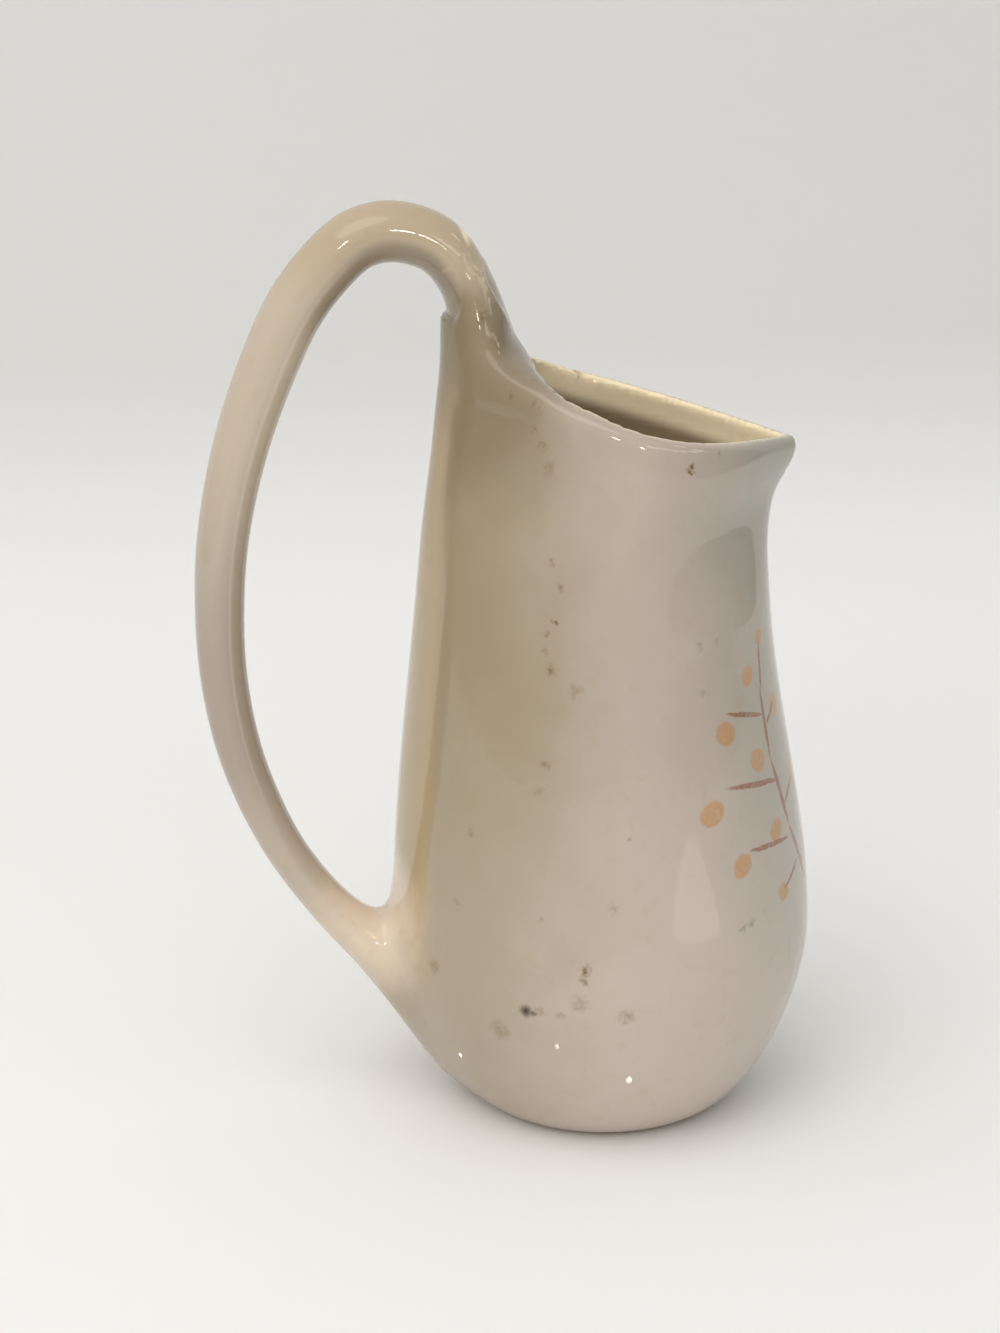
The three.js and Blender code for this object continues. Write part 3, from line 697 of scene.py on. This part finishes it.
def handle_loop(to_world, glaze):
    """The loop handle, swept from the neck's seat to the heel's seat and settled under the glaze."""
    first = np.argmax(HANDLE_LINE[:, 1] > NECK_SEAT)
    last = len(HANDLE_LINE) - 1 - np.argmax(HANDLE_LINE[::-1, 0] < -HEEL_SEAT)
    rows = HANDLE_LINE[first:last + 1].copy()
    along = HANDLE_ALONG[first:last + 1]
    rows[0, 1], rows[-1, 0] = NECK_SEAT, -HEEL_SEAT
    run = np.concatenate([[0.0], np.cumsum(np.linalg.norm(np.diff(rows[:, :2], axis=0), axis=1))])
    across = np.stack([along[:, 1], -along[:, 0]], axis=1)
    to_neck = eased(run, NECK_TURN, 0.0)
    to_heel = eased(run, run[-1] - HEEL_TURN, run[-1])
    across = across * (1 - to_neck - to_heel)[:, None]
    across[:, 0] += to_neck
    across[:, 1] -= to_heel
    across /= np.linalg.norm(across, axis=1)[:, None]
    square_on = np.abs(across[:, 0] * along[:, 1] - across[:, 1] * along[:, 0])
    across *= (rows[:, 2] / 2 / square_on)[:, None]
    line = bpy.data.meshes.new("handle_line")
    points = [(x, 0.0, z) for x, z in rows[:, :2]]
    line.from_pydata(points, [(index, index + 1) for index in range(len(points) - 1)], [])
    for name, values in (("across", [(x, 0.0, z) for x, z in across]),
                         ("beside", [(0.0, width / 2, 0.0) for width in rows[:, 3]])):
        attribute = line.attributes.new(name, "FLOAT_VECTOR", "POINT")
        attribute.data.foreach_set("vector", np.array(values).ravel())
    carrier = bpy.data.objects.new("handle_line", line)
    bpy.context.scene.collection.objects.link(carrier)
    tree, rings, sides, glaze_input = sweep_tree()
    sweep = carrier.modifiers.new("sweep", "NODES")
    sweep.node_group = tree
    sweep[rings], sweep[sides], sweep[glaze_input] = HANDLE_RINGS, HANDLE_SIDES, glaze
    evaluated = carrier.evaluated_get(bpy.context.evaluated_depsgraph_get())
    mesh = bpy.data.meshes.new_from_object(evaluated)
    bpy.data.objects.remove(carrier)
    mesh.name = "glazed_handle"
    points = np.empty(len(mesh.vertices) * 3)
    mesh.vertices.foreach_get("co", points)
    points = points.reshape(-1, 3)
    on_neck = (points[:, 0] > -HEEL_SEAT) & (np.abs(points[:, 2] - NECK_SEAT) < SEAT_SLACK)
    on_heel = (points[:, 2] < NECK_SEAT / 2) & (np.abs(points[:, 0] + HEEL_SEAT) < SEAT_SLACK)
    for _ in range(HANDLE_ROUNDS):
        points = settle(points, 1, ((on_neck, 2), (on_heel, 0)))
        low = ~on_neck & (points[:, 0] > -HEEL_SEAT)
        points[low, 2] = np.maximum(points[low, 2], NECK_SEAT)
        ahead = ~on_heel & (points[:, 2] < NECK_SEAT / 2)
        points[ahead, 0] = np.minimum(points[ahead, 0], -HEEL_SEAT)
    mesh.vertices.foreach_set("co", ((points + to_world) * MM).ravel())
    mesh.update()
    for name in ("centre", "round", "across", "beside"):
        if name in mesh.attributes:
            mesh.attributes.remove(mesh.attributes[name])
    glazed_normals(mesh, to_world)
    handle = bpy.data.objects.new("glazed_handle", mesh)
    bpy.context.scene.collection.objects.link(handle)
    return handle


def blots(tree, place, spots):
    """A mask of soft-edged spots, each given by its place in millimetres, radius and depth."""
    mask = 0.0
    for x, y, z, radius, depth in spots:
        reach = add_node(tree, "ShaderNodeVectorMath", {"operation": "DISTANCE"},
                         {0: place, 1: (x, y, z)})
        spot = add_node(tree, "ShaderNodeMapRange", EASED, {
            "Value": reach.outputs["Value"], "From Min": SPOT_CORE * radius, "From Max": radius,
            "To Min": depth, "To Max": 0.0})
        mask = add_node(tree, "ShaderNodeMath", {"operation": "MAXIMUM"},
                        {0: mask, 1: spot.outputs[0]}).outputs[0]
    return mask


def brush_marks(tree, chart, marks):
    """A mask of brush dabs on the unrolled front: place, length, width and turn of each."""
    mask = 0.0
    for across, up, length, width, turn in marks:
        dab = add_node(tree, "ShaderNodeMapping", {"vector_type": "TEXTURE"}, {
            "Vector": chart, "Location": (across, up, 0.0), "Rotation": (0.0, 0.0, math.radians(turn)),
            "Scale": (length / 2, width / 2, 1.0)})
        round_dab = add_node(tree, "ShaderNodeTexGradient", {"gradient_type": "SPHERICAL"},
                             {"Vector": dab.outputs[0]})
        mask = add_node(tree, "ShaderNodeMath", {"operation": "MAXIMUM"},
                        {0: mask, 1: round_dab.outputs["Fac"]}).outputs[0]
    return mask


def shifted_about(tree, place, cloud, reach):
    """A place moved about by a cloud, up to half of the reach either way along each axis."""
    drift = add_node(tree, "ShaderNodeVectorMath", {"operation": "MULTIPLY_ADD"}, {
        0: cloud.outputs["Color"], 1: reach, 2: tuple(-size / 2 for size in reach)})
    moved = add_node(tree, "ShaderNodeVectorMath", {"operation": "ADD"}, {0: place, 1: drift.outputs[0]})
    return moved.outputs[0]


def cast_earthenware(name, to_world):
    """Slip-cast earthenware under a clear gloss glaze that has yellowed with age.

    The eye sees a warm ivory body, with olive stain towards the handle and greyer at the spout,
    with small sharp reflections, brown pinholes where stain crept in, and a brushed sprig. Some
    colours are painted light and shade: lighter low down and on the heel, a painted reflection on the
    back, a paler inside, and darker in hollows, under the crown and deep inside.
    """
    material = bpy.data.materials.new(name)
    material.use_nodes = True
    tree = material.node_tree
    tree.nodes.clear()
    coordinate = add_node(tree, "ShaderNodeTexCoord")
    place = add_node(tree, "ShaderNodeVectorMath", {"operation": "MULTIPLY_ADD"}, {
        0: coordinate.outputs["Object"], 1: (1 / MM,) * 3, 2: tuple(-to_world)}).outputs[0]
    axes = add_node(tree, "ShaderNodeSeparateXYZ", inputs={"Vector": place})
    across, height = axes.outputs["X"], axes.outputs["Z"]

    # Clouds, from a few centimetres down to the fine mottle of aged glaze, which is a few tenths of
    # a millimetre in truth and drawn coarser to show.
    cloud, mottle, ragged, grain = [
        add_node(tree, "ShaderNodeTexNoise", inputs={"Vector": place, "Scale": scale, "Detail": detail})
        for scale, detail in ((0.05, 4.0), (0.35, 5.0), (0.8, 5.0), (1.7, 3.0))]

    # Stain has no hard outline: every share below is read at a place that a cloud shifts about.
    drifted = shifted_about(tree, place, cloud, (22.0, 22.0, 22.0))
    loose = add_node(tree, "ShaderNodeSeparateXYZ", inputs={"Vector": drifted})
    loose_across, loose_height = loose.outputs["X"], loose.outputs["Z"]
    from_neck, from_heel_light = [
        add_node(tree, "ShaderNodeVectorMath", {"operation": "DISTANCE"},
                 {0: drifted, 1: spot}).outputs["Value"]
        for spot in (NECK_STAIN_PLACE, HEEL_LIGHT_PLACE)]
    # The mesh's marks: the back's painted reflection, painted shade under the crown, the inside, and
    # painted shade deep inside and in hollows.
    back, underside_shade, inner, deep_shade, hollow_shade = [
        add_node(tree, "ShaderNodeAttribute", {"attribute_name": name}).outputs["Fac"]
        for name in ("back_reflection_share", "underside_shade_share", "inner_share", "deep_shade_share", "hollow_shade_share")]

    # The sprig's chart unrolls the body round its axis.
    forwards = add_node(tree, "ShaderNodeMath", {"operation": "MULTIPLY"},
                        {0: axes.outputs["Y"], 1: -1.0})
    angle = add_node(tree, "ShaderNodeMath", {"operation": "ARCTAN2"},
                     {0: across, 1: forwards.outputs[0]})
    around = add_node(tree, "ShaderNodeMath", {"operation": "MULTIPLY"},
                      {0: angle.outputs[0], 1: CHART_RADIUS})
    chart = add_node(tree, "ShaderNodeCombineXYZ", inputs={"X": around.outputs[0], "Y": height}).outputs[0]
    tremble, streaks = [
        add_node(tree, "ShaderNodeTexNoise", inputs={"Vector": chart, "Scale": scale, "Detail": detail})
        for scale, detail in ((0.5, 3.0), (1.1, 2.0))]
    brushed = shifted_about(tree, chart, tremble, (0.6, 0.6, 0.0))

    # Each share eases from its first strength to its last as a value runs from one level to another.
    shares = {"back": back, "underside_shade": underside_shade, "inside": inner, "deep_shade": deep_shade, "hollow_shade": hollow_shade}
    for name, value, start, end, first, last in (
            ("olive", loose_across, 2.0, -30.0, 0.0, 1.0),
            ("spout side", loose_across, 8.0, 34.0, 0.0, 1.0),
            # Painted light: lighter low on the body, less over the olive stain, as if lit from the paper.
            ("low", loose_height, 95.0, 15.0, 0.0, 1.0),
            ("lift off olive", "olive", 0.0, 1.0, 0.85, 0.3),
            ("neck", from_neck, 30.0, 9.0, 0.0, 0.75),
            # Painted light: the heel is painted lighter, as if lit.
            ("heel", from_heel_light, 19.0, 5.0, 0.0, 0.9),
            ("loop", loose_across, -38.0, -48.0, 0.0, 1.0),
            ("crown", height, 149.0, 158.0, 0.0, 1.0),
            ("high loop", loose_height, 85.0, 130.0, 0.0, 1.0),
            ("loop top", height, 148.0, 160.0, 0.0, 1.0),
            ("loop tail", height, 72.0, 45.0, 0.0, 1.0),
            ("mottle", mottle.outputs["Fac"], 0.52, 0.78, 0.0, 0.16),
            ("patchy", grain.outputs["Fac"], 0.35, 0.6, 0.5, 1.4),
            ("streaks", streaks.outputs["Fac"], 0.2, 0.6, 0.55, 1.0),
            ("dabs", brush_marks(tree, brushed, SPRIG_DABS), 0.0, 0.28, 0.0, 0.85),
            ("lines", brush_marks(tree, brushed, SPRIG_LINES), 0.0, 0.28, 0.0, 0.8),
            ("bare ring", height, 0.9, 0.5, 0.0, 1.0),
            ("gloss", mottle.outputs["Fac"], 0.3, 0.8, 0.04, 0.1)):
        shares[name] = add_node(tree, "ShaderNodeMapRange", EASED, {
            "Value": shares.get(value, value), "From Min": start, "From Max": end,
            "To Min": first, "To Max": last}).outputs[0]
    stains = shifted_about(tree, place, ragged, (2.6, 2.6, 2.6))
    pinholes = shifted_about(tree, place, ragged, (1.2, 1.2, 1.2))
    shares["brown blots"] = blots(tree, stains, BROWN_STAINS)
    shares["green blots"] = blots(tree, stains, GREEN_TRACES)
    shares["pinholes"] = blots(tree, pinholes, DARK_PINHOLES)
    for name, operation, one, other in (
            ("outside", "SUBTRACT", 1.0, "inside"),
            ("painted lift low", "MULTIPLY", "low", "lift off olive"),
            ("handle", "MAXIMUM", "loop", "crown"),
            ("brown stains", "MULTIPLY", "brown blots", "patchy"),
            ("green traces", "MULTIPLY", "green blots", "patchy"),
            ("thin dabs", "MULTIPLY", "dabs", "streaks"),
            ("thin lines", "MULTIPLY", "lines", "streaks"),
            ("sprig dabs", "MULTIPLY", "thin dabs", "outside"),
            ("sprig lines", "MULTIPLY", "thin lines", "outside"),
            ("matt ring", "MULTIPLY", "bare ring", 0.8),
            ("roughness", "MAXIMUM", "gloss", "matt ring")):
        shares[name] = add_node(tree, "ShaderNodeMath", {"operation": operation}, {
            0: shares.get(one, one), 1: shares.get(other, other)}).outputs[0]

    # Colours laid one over another. The handle has its own colour, which changes along its length.
    # Some layers are painted light and shade: the body is lighter low down and the heel lighter still,
    # the back takes a lighter tint as a painted reflection of the backdrop, the inside is paler, partly
    # as painted light, and painted shade darkens the glaze, darker and greener in hollows, and darker
    # under the crown and deep inside. Stain crept into pinholes, the sprig is ochre dabs and rust-brown
    # lines, brushed on before the last firing, and the foot ring was wiped clean of glaze: bare, matt
    # and a little dirty.
    colours = {}
    for part, first, layers in (
            ("handle", "#a89a8c", (
                ("#c0b29f", "high loop"), ("#b7a58b", "loop top"), ("#bcae9e", "loop tail"))),
            ("creamer", "#b5a89c", (
                # Painted light and shade among these: lighter low down and on the heel, the back's painted
                # reflection, the paler inside, and darker under the crown, deep inside and in hollows.
                ("#9b8d73", "olive"), ("#9e9b8e", "spout side"), ("#c4b6ab", "painted lift low"),
                ("#83745c", "neck"), ("#b09c7a", "back"), ("handle", "handle"),
                ("#877a68", "underside_shade"), ("#e2d0ba", "heel"), ("#fdeac6", "inside"),
                ("#8a795f", "deep_shade"), ("#998a68", "hollow_shade"), ("#a3916f", "mottle"),
                ("#725a2e", "brown stains"), ("#7f8468", "green traces"), ("#2a2017", "pinholes"),
                ("#b98c5c", "sprig dabs"), ("#8a5436", "sprig lines"), ("#b7a485", "bare ring")))):
        colour = linear(first)
        for hue, share in layers:
            over = colours[hue] if hue in colours else linear(hue)
            colour = add_node(tree, "ShaderNodeMix", COLOUR, {
                0: shares[share], 6: colour, 7: over}).outputs[2]
        colours[part] = colour

    # Glaze never levels quite flat: long low waves, and a faint orange peel.
    waves = add_node(tree, "ShaderNodeTexNoise", inputs={"Vector": place, "Scale": 0.06, "Detail": 1.0})
    peel = add_node(tree, "ShaderNodeTexNoise", inputs={"Vector": place, "Scale": 0.45, "Detail": 1.0})
    wavy = add_node(tree, "ShaderNodeBump", inputs={
        "Strength": 1.0, "Distance": 0.22 * MM, "Height": waves.outputs["Fac"]})
    skin = add_node(tree, "ShaderNodeBump", inputs={
        "Strength": 1.0, "Distance": 0.012 * MM, "Height": peel.outputs["Fac"],
        "Normal": wavy.outputs[0]})
    surface = add_node(tree, "ShaderNodeBsdfPrincipled", inputs={
        "Base Color": colours["creamer"], "Roughness": shares["roughness"], "IOR": 1.5,
        "Normal": skin.outputs[0]})
    add_node(tree, "ShaderNodeOutputMaterial", inputs={"Surface": surface.outputs[0]})
    return material


def paper_sweep():
    """A sheet of pale paper that runs under the creamer and curves up behind it, painted darker
    as it rises, as painted shade.
    """
    material = bpy.data.materials.new("matt_white_paper")
    material.use_nodes = True
    tree = material.node_tree
    paper = tree.nodes["Principled BSDF"]
    height = add_node(tree, "ShaderNodeSeparateXYZ", inputs={
        "Vector": add_node(tree, "ShaderNodeTexCoord").outputs["Object"]}).outputs["Z"]
    # Painted shade: the colour falls off from the table's to a darker one as the paper rises.
    rise = add_node(tree, "ShaderNodeMapRange", EASED, {
        "Value": height, "From Min": 0.0, "From Max": PAPER_SHADE_RISE * MM})
    painted_falloff = add_node(tree, "ShaderNodeMix", COLOUR, {
        0: rise.outputs[0], 6: linear(TABLE_PAPER), 7: linear(SHADED_RISE_PAPER)})
    tree.links.new(painted_falloff.outputs[2], paper.inputs["Base Color"])
    paper.inputs["Roughness"].default_value = 0.9
    paper.inputs["Specular IOR Level"].default_value = 0.2

    # Someone who walks around behind the paper looks through its back.
    from_behind = add_node(tree, "ShaderNodeMath", {"operation": "MULTIPLY"}, {
        0: add_node(tree, "ShaderNodeNewGeometry").outputs["Backfacing"],
        1: add_node(tree, "ShaderNodeLightPath").outputs["Is Camera Ray"]})
    clear = add_node(tree, "ShaderNodeBsdfTransparent")
    seen = add_node(tree, "ShaderNodeMixShader", inputs={
        0: from_behind.outputs[0], 1: paper.outputs["BSDF"], 2: clear.outputs["BSDF"]})
    tree.links.new(seen.outputs["Shader"], tree.nodes["Material Output"].inputs["Surface"])

    profile = [(SWEEP_FRONT, 0.0)]
    for step in range(SWEEP_STEPS + 1):
        turn = math.pi / 2 * step / SWEEP_STEPS
        profile.append((SWEEP_START + (SWEEP_BACK - SWEEP_START) * math.sin(turn),
                        SWEEP_RISE * (1 - math.cos(turn))))
    profile.append((SWEEP_BACK, SWEEP_TOP))
    points = [(x * MM, y * MM, z * MM) for y, z in profile for x in (-SWEEP_HALF_WIDTH, SWEEP_HALF_WIDTH)]
    faces = [(2 * row, 2 * row + 1, 2 * row + 3, 2 * row + 2) for row in range(len(profile) - 1)]
    mesh = bpy.data.meshes.new("paper_sweep")
    mesh.from_pydata(points, [], faces)
    mesh.update()
    mesh.shade_smooth()
    mesh.materials.append(material)
    sweep = bpy.data.objects.new("paper_sweep", mesh)
    bpy.context.scene.collection.objects.link(sweep)
    return sweep


def room():
    """The room around: pale above, darker below, and darker and cooler to the right."""
    world = bpy.data.worlds.new("room")
    bpy.context.scene.world = world
    world.use_nodes = True
    tree = world.node_tree
    direction = add_node(tree, "ShaderNodeSeparateXYZ", inputs={
        "Vector": add_node(tree, "ShaderNodeTexCoord").outputs["Generated"]})
    above, right = [
        add_node(tree, "ShaderNodeMapRange", EASED, {
            "Value": direction.outputs[axis], "From Min": start, "From Max": end,
            "To Max": share}).outputs[0]
        for axis, start, end, share in (("Z", -0.1, 0.75, 1.0), ("X", 0.0, 0.9, 0.8))]

    # The real room's walls are dimmer in the glaze than the light they let in.
    in_glaze = add_node(tree, "ShaderNodeMath", {"operation": "MULTIPLY"}, {
        0: add_node(tree, "ShaderNodeLightPath").outputs["Is Glossy Ray"], 1: 0.4}).outputs[0]
    colour = linear("#bbbab8")
    for over, share in (("#ffffff", above), ("#858a89", right), ("#82807d", in_glaze)):
        colour = add_node(tree, "ShaderNodeMix", COLOUR, {0: share, 6: colour, 7: linear(over)}).outputs[2]
    background = tree.nodes["Background"]
    tree.links.new(colour, background.inputs["Color"])
    background.inputs["Strength"].default_value = 1.0


def facing(azimuth, elevation):
    """The direction towards an azimuth, 0 in front and 90 beyond the spout, and an elevation."""
    turn, tilt = math.radians(azimuth), math.radians(elevation)
    return Vector((math.sin(turn) * math.cos(tilt), -math.cos(turn) * math.cos(tilt), math.sin(tilt)))


def stand(seat, target, away, distance):
    """Puts a lamp or the camera at a distance from its target, in millimetres, and turns it there."""
    seat.location = Vector(target) * MM + away * distance * MM
    seat.rotation_euler = away.to_track_quat("Z", "Y").to_euler()
    bpy.context.scene.collection.objects.link(seat)


def lamp(name, target, azimuth, elevation, distance, size, brightness,
         colour="#fff6e6", gloss=True, matt=False):
    """A round lamp that looks at a target.

    Brightness is how many times whiter than paper the lamp's own face is. Gloss says whether its
    image shows in the glaze, and matt whether it lights the colours too.
    """
    light = bpy.data.lights.new(name, "AREA")
    light.shape, light.size = "DISK", size * MM
    light.energy = brightness * math.pi * (math.pi * (size * MM / 2) ** 2)
    light.color = linear(colour)[:3]
    seat = bpy.data.objects.new(name, light)
    seat.visible_camera = False
    seat.visible_glossy = gloss
    seat.visible_diffuse = matt
    seat.visible_transmission = False
    stand(seat, target, facing(azimuth, elevation), distance)
    return seat


def lights(to_world, pieces, paper):
    """Soft light on the creamer and on the paper, and small lamps whose images show in the glaze."""
    aim = LAMP_AIM + to_world
    lamp("soft_ceiling", aim, -40.0, 62.0, 1200.0, 800.0, 1.6, "#fffdf8", matt=True)

    # Flagged lamps: a low one in front, which reaches just under the far rim, and a warm one over
    # the handle light the creamer alone. A window behind, which casts the shadow, and a wide lamp
    # from the left light the paper alone.
    for name, lit, settings in (
            ("low_front", pieces, (-9.0, 11.0, 1300.0, 260.0, 18.0, "#fffaf2")),
            ("warm_over_handle", pieces, (-90.0, 62.0, 1200.0, 300.0, 6.0, "#fff0dc")),
            ("window_behind", (paper,), (140.0, 50.0, 1100.0, 450.0, 10.0, "#ffffff")),
            ("wide_left", (paper,), (-40.0, 25.0, 800.0, 500.0, 1.0, "#ffffff"))):
        seat = lamp(name, aim, *settings, gloss=False, matt=True)
        seat.light_linking.receiver_collection = bpy.data.collections.new(name)
        for thing in lit:
            seat.light_linking.receiver_collection.objects.link(thing)
    lamp("bright_table", TABLE_AIM + to_world, 42.0, -14.0, 150.0, 76.0, 1.15)
    for index, (azimuth, elevation, size, brightness) in enumerate(CEILING_LAMPS):
        lamp(f"ceiling_lamp_{index + 1}", aim, azimuth, elevation, 1500.0, size, brightness)
    for index, (x, y, z, azimuth, elevation, distance, size) in enumerate(TABLE_GLEAMS):
        lamp(f"table_gleam_{index + 1}", np.array((x, y, z)) + to_world, azimuth, elevation, distance,
             size, TABLE_GLEAM_BRIGHTNESS)


def camera(to_world):
    """Stands at the photo's height, a little towards the handle's side."""
    data = bpy.data.cameras.new("camera")
    data.lens, data.sensor_width, data.sensor_fit = CAMERA_LENS, CAMERA_SENSOR, "HORIZONTAL"
    seat = bpy.data.objects.new("camera", data)
    stand(seat, CAMERA_AIM + to_world, facing(CAMERA_AZIMUTH, CAMERA_ELEVATION), CAMERA_DISTANCE)
    bpy.context.scene.camera = seat


def main():
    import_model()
    # The belly's front is the body's furthest point towards the spout, so it tells where the axis is.
    to_world = np.array([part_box("body")[1].x / MM - LEVELS[0, 1], 0.0, 0.0])
    glaze = cast_earthenware("gloss_glaze_over_cast_earthenware", to_world)
    body = vessel(to_world)
    body.data.materials.append(glaze)
    handle = handle_loop(to_world, glaze)
    for piece, node, slot in ((body, "body", "body_glaze"), (handle, "handle", "handle_glaze")):
        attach(piece, "root")
        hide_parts(node)
    paper = paper_sweep()
    room()
    lights(to_world, (body, handle), paper)
    camera(to_world)
    bpy.context.scene.view_settings.view_transform = "Standard"


main()
